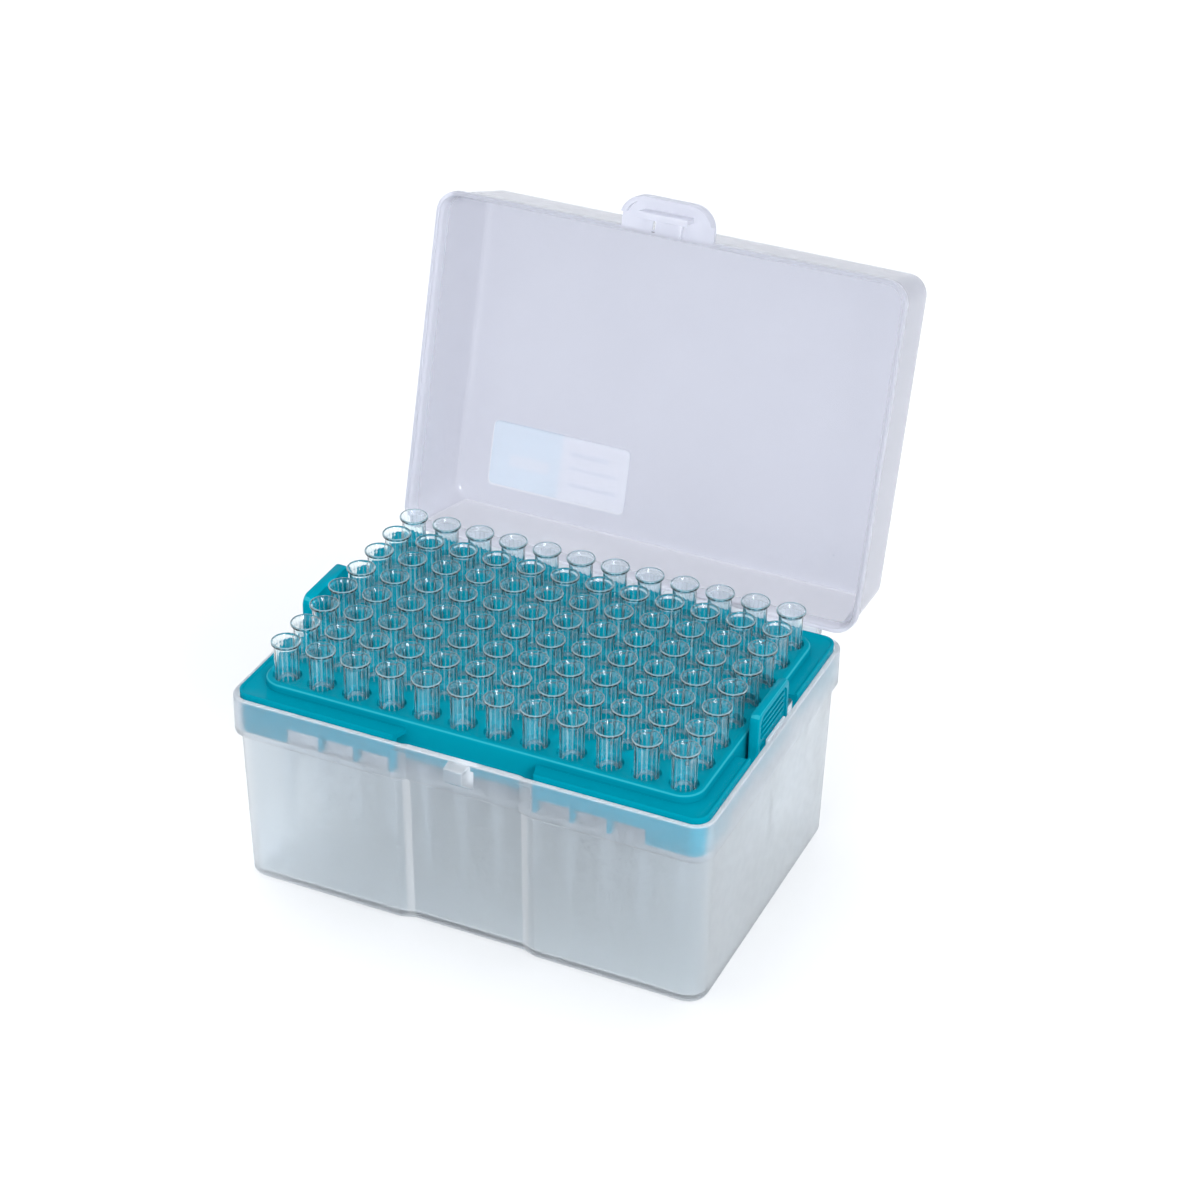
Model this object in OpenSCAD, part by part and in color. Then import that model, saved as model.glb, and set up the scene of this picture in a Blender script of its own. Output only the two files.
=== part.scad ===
// Box of pipette tips: a translucent base, a hinged lid with a latch tab, and a
// lift-out tray that carries a standard array of tips on a 9 mm pitch.
// Origin: centre of the base's underside. +X to the right, +Y towards the hinge, +Z up.
// The lid is drawn open, as the box stands on a bench.

/* [Tips] */
// Distance between neighbouring tips
pitch = 9; // [8:0.5:10]
// Overall length of a tip
tip_length = 51; // [44:0.5:51.5]
// Length of the ribbed collar, from the lip to the shoulder
tip_collar_length = 10.5; // [8:0.5:13]
// Outside diameter of the mouth lip
tip_lip_d = 7; // [6.4:0.1:7.6]
// Outside diameter over the collar's ribs
tip_collar_d = 6.1; // [5.8:0.1:6.3]
// Width of the shoulder that a tip hangs by
tip_shoulder = 0.45; // [0.4:0.05:0.6]
// Outside diameter of the narrow end
tip_end_d = 0.9; // [0.8:0.1:1.5]
// Wall thickness of a tip
tip_wall = 0.4; // [0.3:0.05:0.5]
// Number of ribs round the collar
tip_ribs = 16; // [8:1:20]

/* [Tray] */
// Height of the tray's top above the base's rim
tray_rise = 2.9; // [2.4:0.1:6]
// Depth of the counterbore in which a tip's shoulder sits
seat_depth = 1.3; // [0.8:0.1:1.6]
// Thickness of the tray's top
tray_plate = 2.5; // [2.2:0.1:4]
// Thickness of the tray's other walls
tray_wall = 1.2; // [0.8:0.1:1.6]
// Distance from the outermost tip centres to the raised panel's edge
panel_margin = 5.1; // [4.6:0.1:5.5]
// Height of the raised panel above the ledge round it
panel_step = 2.1; // [1.2:0.1:2.3]
// Height to which the skirt is cut away between the corners
skirt_cut = 3.7; // [2:0.1:5]
// Length of the full-height skirt along the long sides, from each corner
skirt_corner = 13.5; // [8:0.5:20]
// Height of the side grips above the base's rim
grip_rise = 9.2; // [6:0.1:11]
// Length of each side grip
grip_length = 18.6; // [12:0.2:22]
// Thickness of each side grip
grip_thickness = 2.4; // [1.8:0.1:2.6]

/* [Base] */
// Width of the tray's ledge at the short sides
ledge_x = 3.7; // [3.4:0.1:8]
// Width of the tray's ledge at the long sides
ledge_y = 4.3; // [3.4:0.1:8]
// Overall height
base_height = 51.2; // [44:0.1:70]
// Wall thickness
base_wall = 1.2; // [1:0.1:1.4]
// Floor thickness
base_floor = 1.4; // [1:0.1:2.5]
// Height of the flange
flange_height = 9.9; // [8:0.1:12]
// Step from the flange in to the wall at the short sides
flange_step_x = 0.8; // [0.6:0.1:2]
// Step from the flange in to the wall at the long sides
flange_step_y = 1.6; // [1.2:0.1:3]
// Draft of each wall from the flange down to the floor, at the short sides
draft_x = 0.5; // [0.2:0.1:2]
// Draft of each wall from the flange down to the floor, at the long sides
draft_y = 1.4; // [0.5:0.1:2.5]
// Radius of the upright corners
corner_r = 5; // [3:0.5:7]
// Width of the front panel's sunken floor
recess_width = 28; // [20:1:32]
// Depth of the sunken front panel
recess_depth = 1.2; // [0.6:0.1:1.4]

/* [Lid] */
// How far the lid stands open
open_angle = 105; // [95:1:110]
// Overall depth of the lid
lid_depth = 25.2; // [23:0.2:40]
// Wall thickness of the lid
lid_wall = 1; // [0.8:0.1:1.1]
// How far the lid's rim stands outside the base's flange
lid_overhang = 0.6; // [0.4:0.1:0.8]
// Height of the thicker lip round the lid's rim
lip_height = 2.2; // [1.5:0.1:4]
// Step from the lip in to the wall
lip_step = 0.5; // [0.3:0.1:0.7]
// Draft of each wall over the lid's depth
lid_draft = 1.6; // [0.8:0.1:3]
// Radius of the lid's upper edge
lid_edge_r = 2; // [1:0.25:3]

/* [Latch] */
// Width of the tab each side of its window
tab_side = 5.5; // [3:0.1:9]
// Length of the tab beyond its catch bar
tab_end = 3.3; // [2.5:0.1:6]
// Thickness of the latch tab
tab_thickness = 1.5; // [1:0.1:2]
// How far the catch stands out from the sunken panel
catch_reach = 4.6; // [3.8:0.1:5]
// Width of the catch at its root
catch_width = 6; // [4:0.2:6]

/* [Hinge] */
// Number of knuckles along the hinge, an odd number
knuckles = 13; // [7:2:15]
// Distance from the flange's rounded corners to the hinge
hinge_inset = 2.8; // [1:0.1:12]
// Radius of the hinge pin
pin_r = 0.8; // [0.6:0.05:0.9]
// Radial clearance of the pin in its bore
pin_clearance = 0.05; // [0.03:0.01:0.1]
// Wall of a base knuckle round its bore
knuckle_wall = 0.65; // [0.5:0.05:0.9]

/* [Label] */
// Length of the label
label_length = 38; // [20:1:60]
// Width of the label
label_width = 16.8; // [10:0.2:30]
// Distance from the lid's left edge to the label
label_inset_x = 11.2; // [6:0.2:20]
// Distance from the lid's rear edge to the label
label_inset_y = 8.6; // [5:0.2:20]

/* [Hidden] */
COLUMNS = 12;
ROWS = 8;
COLUMN_NODES = [
    for (i = [1:COLUMNS]) str("tips_column_", i < 10 ? "0" : "", i)
];

$fn = 48;
CORNER_STEPS = 8;  // flats round each corner of a lofted wall
OVERLAP = 0.2;     // how far joined features run into each other

// Tip array
array_x = (COLUMNS - 1) * pitch / 2;
array_y = (ROWS - 1) * pitch / 2;
seat_z = base_height + tray_rise - seat_depth;
tip_top_z = seat_z + tip_collar_length;
tip_body_d = tip_collar_d - 2 * tip_shoulder;
tip_rib_depth = 0.2;
tip_lip_height = 0.8;
tip_knee = 0.6;             // place along a tip where its taper grows steeper
tip_knee_taper = 0.66;      // the radius there, as a share of the body's

// Raised panel of the tray, the tray round it and the base round that
tray_gap = 0.3;             // between the tray's skirt and the flange's inside
panel_x = array_x + panel_margin;
panel_y = array_y + panel_margin;
tray_x = panel_x + ledge_x;
tray_y = panel_y + ledge_y;
base_length = 2 * (tray_x + tray_gap + base_wall);
base_width = 2 * (tray_y + tray_gap + base_wall);
half_x = base_length / 2;
half_y = base_width / 2;
inner_x = half_x - base_wall;
inner_y = half_y - base_wall;

// Base
flange_z = base_height - flange_height;
shelf_z = flange_z + base_wall;
wall_x = half_x - flange_step_x;
wall_y = half_y - flange_step_y;
foot_r = 1.2;
flange_edge_r = 0.5;
recess_slope = 3.3;         // width of the bevel at each end of the sunken panel
rim_band = 1.6;             // height of the rim left whole above the sunken panel
side_rib = [0.8, 1.4];      // depth and width of the ribs inside the short walls
side_rib_pitch = 21;

// Tray
tray_notch = recess_width / 2 + recess_slope + tray_gap;  // half width of the front cut-out
panel_r = 5.5;
panel_edge_r = 0.8;
tray_z = base_height + tray_rise;
ledge_z = tray_z - panel_step;
bead = [0.8, 0.4];          // width and height of the bead round the ledge
skirt_z = shelf_z + skirt_cut;
seat_clearance = 0.3;       // round a tip's collar in its counterbore
hole_clearance = 0.2;       // round a tip's body in its hole
grip_x = tray_x - tray_gap;
grip_z = base_height + grip_rise;
grip_corner_r = 2.5;
grip_gap = 5;               // between a grip and the ledge beside it
grip_border = 1.3;
grip_recess = 0.5;
grip_rib = 0.6;
grip_rib_pitch = 1.5;
grip_bevel = 0.8;           // fall of a grip's top towards the tips
grip_foot_z = skirt_z - tray_wall;
web = 1;                    // thickness of the webs under the ledge

// Side locators on the base's rim
locator_length = 10.6;
locator_height = 0.8;
locator_depth = 0.6;

// Lid, closed: the rim clears the base's rim by this much
rim_gap = 0.25;
lid_z = base_height + rim_gap;
lid_x = half_x + lid_overhang;
lid_y = half_y + lid_overhang;
lid_top_z = lid_z + lid_depth;

// Hinge: its axis lies behind the flange and under the lid's rim
base_knuckle_r = pin_r + pin_clearance + knuckle_wall;
lid_knuckle_r = base_knuckle_r - 0.2;
hinge_y = half_y + base_knuckle_r;
hinge_z = base_height - 0.8 * base_knuckle_r;
knuckle_gap = 0.3;          // between neighbouring knuckles
knuckle_length = (2 * (half_x - corner_r - hinge_inset)) / knuckles;
pin_reach = 3;
stop_reach = 3.5;           // from the axis back to the end of the stop heel
stop_gap = 0.2;             // between the stop heel and the opened lid

// Latch
tab_r = 6;
catch_taper = 0.7;
catch_face = 3.4;
catch_slope = 0.9;          // fall of the catch's underside towards its root
catch_gap = 0.6;            // between the catch and the ridge of the catch bar
catch_y = half_y - recess_depth + catch_reach;
bar_thickness = 1.2;
bar_ridge = 0.5;
bar_drop = rim_gap + OVERLAP + catch_face + 0.55;
window_width = catch_width + 6.6;
window_reach = catch_y + catch_gap + bar_ridge - lid_y;
tab_width = window_width + 2 * tab_side;
tab_reach = window_reach + bar_thickness + tab_end;
guide = [0.8, 1.5];         // thickness and drop of the two guides in the window
guide_x = (catch_width + guide[0]) / 2 + 0.2;
tab_lip_drop = 2.2;

// Label
label_thickness = 0.12;
label_r = 1.5;

// Rounded rectangle about the origin, given by its half sizes
module round_rect(hx, hy, r) {
    square([2 * hx, 2 * (hy - r)], center = true);
    square([2 * (hx - r), 2 * hy], center = true);
    for (x = [-1, 1], y = [-1, 1])
        translate([x * (hx - r), y * (hy - r)])
            circle(r);
}

// Upright round-cornered plate from z0 to z1
module round_plate(hx, hy, r, z0, z1) {
    translate([0, 0, z0])
        linear_extrude(z1 - z0)
            round_rect(hx, hy, r);
}

// A level of a loft: a rounded rectangle at height z, given by its half sizes
function level(z, hx, hy, r) = [
    for (q = [0:3], k = [0:CORNER_STEPS])
        let (a = 90 * (q + k / CORNER_STEPS), side_x = q == 0 || q == 3 ? 1 : -1, side_y = q < 2 ? 1 : -1)
        [side_x * (hx - r) + r * cos(a), side_y * (hy - r) + r * sin(a), z]
];

// Levels of a quarter-round edge, from z = below to z = above, wide at the bottom or at the top
function round_edge(below, above, hx, hy, corner, wide_top) = [
    for (a = [0, 30, 60, 90])
        let (
            r = above - below,
            inset = r * (1 - (wide_top ? sin(a) : cos(a))),
            z = wide_top ? above - r * cos(a) : below + r * sin(a)
        )
        level(z, hx - inset, hy - inset, corner - inset)
];

// Solid through a list of levels, from the lowest up
module loft(list) {
    n = len(list[0]);
    polyhedron(
        points = [for (l = list, p = l) p],
        faces = concat(
            [[for (k = [0:n - 1]) k]],
            [
                for (i = [0:len(list) - 2], k = [0:n - 1])
                    let (m = (k + 1) % n)
                    [i * n + k, (i + 1) * n + k, (i + 1) * n + m, i * n + m]
            ],
            [[for (k = [n - 1:-1:0]) (len(list) - 1) * n + k]]
        )
    );
}

// Runs its child along X, from a profile drawn as [y, z]
module along_x(length) {
    rotate([90, 0, 90])
        linear_extrude(length, center = true)
            children();
}

// ---- Base ----

// How far a bevelled corner of the sunken panel shifts when its wall is offset
function bevel_shift(inset) = inset * tan(atan(recess_depth / recess_slope) / 2);

// Outline of the sunken front panel, seen from above, with its mouth on the X axis
module recess_outline(inset) {
    w = recess_width / 2 + bevel_shift(inset);
    polygon([
        [-w - recess_slope, -1], [-w - recess_slope, 0], [-w, recess_depth],
        [w, recess_depth], [w + recess_slope, 0], [w + recess_slope, -1]
    ]);
}

// The sunken panel as a cut, following the drafted wall and then the flange
module front_recess(inset, top_z) {
    lean = atan(draft_y / flange_z);
    translate([0, -wall_y + draft_y + inset, 0])
        rotate([lean, 0, 0])
            translate([0, 0, -1])
                linear_extrude(flange_z + 2)
                    recess_outline(inset);
    translate([0, -half_y + inset, flange_z + inset])
        linear_extrude(top_z - flange_z - inset)
            recess_outline(inset);
}

// Outside of the base: rounded foot, drafted wall, flange with a rounded lower edge
module base_form() {
    loft(concat(
        round_edge(0, foot_r, wall_x - draft_x, wall_y - draft_y, corner_r, true),
        [level(flange_z, wall_x, wall_y, corner_r)],
        round_edge(flange_z, flange_z + flange_edge_r, half_x, half_y, corner_r, true),
        [level(base_height, half_x, half_y, corner_r)]
    ));
}

// Hollow of the base, with the shelf that the tray stands on
module base_hollow() {
    low_x = wall_x - draft_x - base_wall;
    low_y = wall_y - draft_y - base_wall;
    r = corner_r - base_wall;
    difference() {
        loft(concat(
            round_edge(base_floor, base_floor + foot_r, low_x, low_y, r, true),
            [
                level(shelf_z, wall_x - base_wall, wall_y - base_wall, r),
                level(shelf_z, inner_x, inner_y, r),
                level(base_height + 1, inner_x, inner_y, r)
            ]
        ));
        front_recess(base_wall, base_height - rim_band + 1);
    }
}

// Catch on the sunken panel, under the rim
module catch() {
    root_y = -half_y + recess_depth;
    tip_y = -catch_y;
    top_z = base_height - OVERLAP;
    intersection() {
        along_x(2 * catch_width)
            polygon([
                [root_y + OVERLAP, top_z], [tip_y, top_z], [tip_y, top_z - catch_face],
                [root_y + OVERLAP, top_z - catch_face - catch_slope * catch_reach]
            ]);
        translate([0, 0, flange_z])
            linear_extrude(2 * flange_height)
                polygon([
                    [-catch_width / 2, root_y + OVERLAP],
                    [-catch_width / 2 + catch_taper, tip_y],
                    [catch_width / 2 - catch_taper, tip_y],
                    [catch_width / 2, root_y + OVERLAP]
                ]);
    }
}

// The two low blocks inside the rim that centre the lid
module rim_locators() {
    for (side = [-1, 1])
        translate([side * inner_x, 0, base_height])
            cube([locator_depth, locator_length, 2 * locator_height], center = true);
}

// Ribs inside the short walls, up to the shelf
module side_ribs() {
    for (side = [-1, 1], k = [-1, 0, 1])
        translate([side * (wall_x - base_wall - side_rib[0] / 2), k * side_rib_pitch, shelf_z / 2])
            cube([side_rib[0] + 2 * draft_x, side_rib[1], shelf_z - base_floor], center = true);
}

// Middle of knuckle number i along the hinge
function knuckle_x(i) = (i - (knuckles - 1) / 2) * knuckle_length;

// Places what is drawn round the hinge axis
module at_hinge(x) {
    translate([x, hinge_y, hinge_z])
        children();
}

// A base knuckle: barrel, web to the flange and the heel that stops the lid
module base_knuckle(x) {
    length = knuckle_length - knuckle_gap;
    at_hinge(x)
        difference() {
            along_x(length) {
                circle(base_knuckle_r);
                translate([half_y - hinge_y - OVERLAP, -base_knuckle_r])
                    square([hinge_y - half_y + OVERLAP, base_height - hinge_z + base_knuckle_r]);
                difference() {
                    translate([0, -base_knuckle_r])
                        square([stop_reach, 2 * base_knuckle_r]);
                    rotate(-open_angle)
                        translate([lid_y - hinge_y + stop_gap - stop_reach, 0])
                            square([stop_reach, 2 * stop_reach]);
                }
            }
            rotate([0, 90, 0])
                cylinder(r = pin_r + pin_clearance, h = 2 * length, center = true);
        }
}

module base() {
    color([0.83, 0.86, 0.9, 0.5]) {
        difference() {
            base_form();
            front_recess(0, base_height - rim_band);
            base_hollow();
        }
        catch();
        rim_locators();
        side_ribs();
        for (i = [0:2:knuckles - 1])
            base_knuckle(knuckle_x(i));
    }
}

// ---- Tray ----

// Ring of the tray's outline from z0 to z1
module tray_ring(z0, z1, thickness) {
    r = corner_r - base_wall - tray_gap;
    translate([0, 0, z0])
        linear_extrude(z1 - z0)
            difference() {
                round_rect(tray_x, tray_y, r);
                round_rect(tray_x - thickness, tray_y - thickness, r - thickness);
            }
}

// Spaces left out of the ledge and skirt: at the sunken front panel and beside the grips
module tray_cutouts() {
    wide = tray_notch;
    slope = recess_slope / 2;
    bay = grip_length / 2 + grip_gap;
    in_y = panel_y - tray_wall / 2;
    in_x = panel_x - tray_wall / 2;
    linear_extrude(2 * base_height) {
        polygon([
            [-wide, -tray_y - 1], [-wide, -tray_y], [-wide + slope, -in_y],
            [wide - slope, -in_y], [wide, -tray_y], [wide, -tray_y - 1]
        ]);
        for (side = [-1, 1])
            translate([side * (in_x + tray_x) / 2, 0])
                square([tray_x - in_x + 1, 2 * bay], center = true);
    }
}

// Ledge, bead and skirt round the raised panel; the skirt stands on the shelf at the corners
module tray_ledge() {
    difference() {
        union() {
            round_plate(tray_x, tray_y, corner_r - base_wall - tray_gap, ledge_z - tray_wall, ledge_z);
            tray_ring(skirt_z, ledge_z - OVERLAP, tray_wall);
            tray_ring(ledge_z - OVERLAP, ledge_z + bead[1], bead[0]);
            intersection() {
                tray_ring(shelf_z, ledge_z - OVERLAP, tray_wall);
                for (x = [-1, 1], y = [-1, 1])
                    translate([x * (tray_x - skirt_corner / 2), y * (tray_y - skirt_corner / 2), base_height])
                        cube([skirt_corner + 2, skirt_corner + 2, 2 * base_height], center = true);
            }
        }
        tray_cutouts();
    }
}

// Webs between the columns of tips, standing on the base's shelf
module tray_webs() {
    for (side = [-1, 1], x = [-4:4])
        if (abs(x) * pitch > tray_notch)
            translate([x * pitch, side * (tray_y - tray_wall), (shelf_z + ledge_z) / 2])
                cube([web, 2 * tray_wall - OVERLAP, ledge_z - shelf_z], center = true);
}

// Upright plate with rounded upper corners, from x0 to x1
module grip_plate(x0, x1, border) {
    half = grip_length / 2 - border;
    top = grip_z - border;
    translate([x0, 0, 0])
        rotate([90, 0, 90])
            linear_extrude(x1 - x0) {
                translate([-half, grip_foot_z])
                    square([2 * half, top - grip_corner_r - grip_foot_z]);
                translate([-half + grip_corner_r, grip_foot_z])
                    square([2 * (half - grip_corner_r), top - grip_foot_z]);
                for (y = [-1, 1])
                    translate([y * (half - grip_corner_r), top - grip_corner_r])
                        circle(grip_corner_r);
            }
}

// The right-hand grip: a plate hung from the raised panel's wall, with a ribbed panel outside
module tray_grip() {
    inner = grip_x - grip_thickness;
    rib_count = floor((grip_rise - 2 * grip_border) / grip_rib_pitch);
    difference() {
        grip_plate(inner, grip_x, 0);
        intersection() {
            grip_plate(grip_x - grip_recess, grip_x + 1, grip_border);
            translate([inner, -grip_length, base_height])
                cube([2 * grip_thickness, 2 * grip_length, 2 * grip_rise]);
        }
        translate([inner, 0, grip_z - grip_bevel])
            rotate([0, -atan(grip_bevel / grip_thickness), 0])
                translate([-grip_thickness, -grip_length, 0])
                    cube([3 * grip_thickness, 2 * grip_length, grip_rise]);
    }
    for (i = [0:rib_count - 1])
        translate([
            grip_x - grip_recess - OVERLAP,
            -grip_length / 2 + 2 * grip_border,
            grip_z - 2 * grip_border - i * grip_rib_pitch - grip_rib
        ])
            cube([grip_recess + OVERLAP, grip_length - 4 * grip_border, grip_rib]);
    translate([panel_x - tray_wall / 2, -grip_length / 2, grip_foot_z])
        cube([inner - panel_x + tray_wall, grip_length, tray_wall]);
}

// Positions of the tips
module at_tips(columns) {
    for (i = columns, j = [0:ROWS - 1])
        translate([(i - 1) * pitch - array_x, j * pitch - array_y, 0])
            children();
}

module tray() {
    color([0, 0.62, 0.7])
    difference() {
        union() {
            difference() {
                union() {
                    loft(concat(
                        [level(skirt_z - tray_wall, panel_x, panel_y, panel_r)],
                        round_edge(tray_z - panel_edge_r, tray_z, panel_x, panel_y, panel_r, false)
                    ));
                    tray_ledge();
                }
                round_plate(panel_x - tray_wall, panel_y - tray_wall, panel_r - tray_wall,
                            shelf_z - 1, tray_z - tray_plate);
            }
            tray_webs();
            for (turn = [0, 180])
                rotate([0, 0, turn])
                    tray_grip();
        }
        at_tips([1:COLUMNS])
            translate([0, 0, seat_z])
                cylinder(d = tip_collar_d + 2 * seat_clearance, h = 2 * seat_depth);
        at_tips([1:COLUMNS])
            translate([0, 0, tray_z - 2 * tray_plate])
                cylinder(d = tip_body_d + 2 * hole_clearance, h = 2 * tray_plate);
    }
}

// ---- Lid ----

// Turns what is drawn closed to where it lies with the lid open
module opened() {
    translate([0, hinge_y, hinge_z])
        rotate([-open_angle, 0, 0])
            translate([0, -hinge_y, -hinge_z])
                children();
}

// Outside of the lid: lip, step, drafted wall, rounded upper edge
module lid_form() {
    x = lid_x - lip_step;
    y = lid_y - lip_step;
    loft(concat(
        [
            level(lid_z, lid_x, lid_y, corner_r + lip_step),
            level(lid_z + lip_height, lid_x, lid_y, corner_r + lip_step),
            level(lid_z + lip_height, x, y, corner_r)
        ],
        round_edge(lid_top_z - lid_edge_r, lid_top_z, x - lid_draft, y - lid_draft, corner_r, false)
    ));
}

// Hollow of the lid
module lid_hollow() {
    x = lid_x - lid_wall;
    y = lid_y - lid_wall;
    r = corner_r + lip_step - lid_wall;
    edge_r = lid_edge_r - lid_wall / 2;
    inset = lip_step + lid_draft;
    loft(concat(
        [
            level(lid_z - 1, x, y, r),
            level(lid_z + lip_height / 2, x, y, r),
            level(lid_z + 2 * lip_height, x - lip_step, y - lip_step, r - lip_step)
        ],
        round_edge(lid_top_z - lid_wall - edge_r, lid_top_z - lid_wall, x - inset, y - inset,
                   r - lip_step, false)
    ));
}

// A lid knuckle: barrel, web to the rear wall and a stub of pin at each end
module lid_knuckle(x) {
    length = knuckle_length - knuckle_gap;
    at_hinge(x) {
        along_x(length) {
            circle(lid_knuckle_r);
            polygon([
                [lid_y - hinge_y - OVERLAP, rim_gap + base_height - hinge_z],
                [lid_y - hinge_y - OVERLAP, rim_gap + base_height - hinge_z + lip_height],
                [lid_y - hinge_y, rim_gap + base_height - hinge_z + lip_height],
                [lid_knuckle_r, 0], [-lid_knuckle_r, 0]
            ]);
        }
        rotate([0, 90, 0])
            cylinder(r = pin_r, h = length + 2 * pin_reach, center = true);
    }
}

// Outline of the latch tab, with its root on the X axis and its end at +Y
module tab_outline(inset) {
    w = tab_width / 2 - inset;
    reach = tab_reach - inset;
    r = tab_r - inset;
    translate([-w, -OVERLAP])
        square([2 * w, reach - r + OVERLAP]);
    translate([-w + r, -OVERLAP])
        square([2 * (w - r), reach + OVERLAP]);
    for (side = [-1, 1])
        translate([side * (w - r), reach - r])
            circle(r);
}

// Latch tab: a plate with a window, a catch bar under it and a lip round its edge
module latch_tab() {
    translate([0, -lid_y, lid_z])
        rotate([180, 0, 0]) {
            translate([0, 0, -tab_thickness])
                linear_extrude(tab_thickness)
                    difference() {
                        tab_outline(0);
                        translate([-window_width / 2, OVERLAP])
                            square([window_width, window_reach - OVERLAP]);
                    }
            translate([0, 0, -tab_thickness])
                linear_extrude(tab_thickness + tab_lip_drop)
                    difference() {
                        tab_outline(0);
                        tab_outline(bar_thickness);
                        translate([-tab_width / 2, -tab_reach])
                            square([tab_width, tab_reach + window_reach]);
                    }
            along_x(window_width)
                polygon([
                    [window_reach, -tab_thickness], [window_reach, bar_drop - 2 * bar_ridge],
                    [window_reach - bar_ridge, bar_drop - bar_ridge], [window_reach - bar_ridge, bar_drop],
                    [window_reach + bar_thickness, bar_drop], [window_reach + bar_thickness, -tab_thickness]
                ]);
            for (side = [-1, 1])
                translate([side * guide_x, (window_reach + OVERLAP) / 2, (guide[1] - tab_thickness) / 2])
                    cube([guide[0], window_reach + OVERLAP, guide[1] + tab_thickness], center = true);
        }
}

module lid() {
    color([0.88, 0.88, 0.93, 0.5])
    opened() {
        difference() {
            lid_form();
            lid_hollow();
        }
        latch_tab();
        for (i = [1:2:knuckles - 2])
            lid_knuckle(knuckle_x(i));
    }
}

module label() {
    x = -lid_x + label_inset_x + label_length / 2;
    y = lid_y - label_inset_y - label_width / 2;
    color([0.7, 0.85, 0.95])
    opened()
        translate([x, y, lid_top_z])
            linear_extrude(label_thickness)
                round_rect(label_length / 2, label_width / 2, label_r);
}

// ---- Tips ----

// Outline of the collar, seen from above: a rib at every even point
module collar_outline(rib_r, groove_r) {
    polygon([
        for (k = [0:2 * tip_ribs - 1])
            let (a = 180 * k / tip_ribs, r = k % 2 == 0 ? rib_r : groove_r)
            [r * cos(a), r * sin(a)]
    ]);
}

// One tip, hanging from its shoulder: lip, ribbed collar, tapered body and bore
module tip() {
    lip_r = tip_lip_d / 2;
    rib_r = tip_collar_d / 2;
    body_r = tip_body_d / 2;
    end_r = tip_end_d / 2;
    knee_z = -tip_knee * tip_length;
    knee_r = tip_knee_taper * body_r;
    bore_r = rib_r - tip_rib_depth - tip_wall;
    difference() {
        union() {
            rotate_extrude()
                polygon([
                    [0, 0], [lip_r - tip_wall / 2, 0], [lip_r, -tip_wall],
                    [lip_r, -tip_lip_height], [rib_r - tip_rib_depth - OVERLAP, -tip_lip_height - tip_wall],
                    [0, -tip_lip_height - tip_wall]
                ]);
            translate([0, 0, -tip_collar_length])
                linear_extrude(tip_collar_length - tip_lip_height / 2)
                    collar_outline(rib_r, rib_r - tip_rib_depth);
            rotate_extrude()
                polygon([
                    [0, -tip_collar_length + OVERLAP], [body_r, -tip_collar_length + OVERLAP],
                    [body_r, -tip_collar_length], [knee_r, knee_z], [end_r, -tip_length],
                    [0, -tip_length]
                ]);
        }
        rotate_extrude()
            polygon([
                [0, 1], [lip_r - tip_wall, 1], [lip_r - tip_wall, 0],
                [bore_r, -tip_lip_height - tip_wall], [body_r - tip_wall, -tip_collar_length],
                [knee_r - tip_wall, knee_z], [end_r - tip_wall / 2, -tip_length],
                [end_r - tip_wall / 2, -tip_length - 1], [0, -tip_length - 1]
            ]);
    }
}

// The tips of one column, front to back
module tips_column(i) {
    color([0.85, 0.9, 0.93, 0.5])
        at_tips([i])
            translate([0, 0, tip_top_z])
                tip();
}

base();
tray();
lid();
label();
for (i = [1:COLUMNS])
    tips_column(i);
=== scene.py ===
"""Looks for the box of pipette tips: clear base and lid, teal tray, clear tips, paper label."""

import math
import random

import bmesh
import bpy
from mathutils import Matrix, Vector


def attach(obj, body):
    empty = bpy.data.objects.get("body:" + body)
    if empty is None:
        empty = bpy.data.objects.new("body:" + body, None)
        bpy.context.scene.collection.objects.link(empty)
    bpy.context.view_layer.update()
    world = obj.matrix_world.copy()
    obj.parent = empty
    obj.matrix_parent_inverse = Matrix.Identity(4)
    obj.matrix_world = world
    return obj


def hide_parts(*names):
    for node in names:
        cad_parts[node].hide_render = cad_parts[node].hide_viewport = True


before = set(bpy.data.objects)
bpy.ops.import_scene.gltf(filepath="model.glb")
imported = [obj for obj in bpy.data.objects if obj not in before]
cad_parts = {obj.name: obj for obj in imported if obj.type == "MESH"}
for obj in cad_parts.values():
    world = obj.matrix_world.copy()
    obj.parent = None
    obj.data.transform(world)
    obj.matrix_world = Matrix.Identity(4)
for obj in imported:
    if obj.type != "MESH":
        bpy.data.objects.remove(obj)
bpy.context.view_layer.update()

MM = 0.001

# ---- Sizes, in millimetres, as the CAD has them; HX and HY are half sizes ----

PITCH = 9.0
COLUMNS, ROWS = 12, 8
BASE_HX, BASE_HY, BASE_H = 59.8, 42.4, 51.2
BASE_WALL, BASE_FLOOR = 1.2, 1.4
FLANGE_Z = 41.3
SHELF_Z = FLANGE_Z + BASE_WALL
WALL_HX, WALL_HY = BASE_HX - 0.8, BASE_HY - 1.6
DRAFT_X, DRAFT_Y = 0.5, 1.4
CORNER_R = 5.0
RECESS_W, RECESS_SLOPE, RECESS_D = 14.0, 3.3, 1.2
RIM_BAND = 1.6

LID_Z = BASE_H + 0.25
LID_HX, LID_HY, LID_DEPTH = BASE_HX + 0.6, BASE_HY + 0.6, 25.2
LID_TOP = LID_Z + LID_DEPTH
LID_WALL, LIP_H, LIP_STEP, LID_DRAFT, LID_EDGE_R = 1.0, 2.2, 0.5, 1.6, 2.0
HINGE_Y, HINGE_Z = BASE_HY + 1.5, BASE_H - 1.2
OPEN_ANGLE = 105.0
KNUCKLES, KNUCKLE_PITCH, KNUCKLE_HALF = 13, 8.0, 3.85
PIN_R, PIN_STUB = 0.8, 3.0
BORE_R, BORE_HALF = 0.85, 52.4

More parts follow.
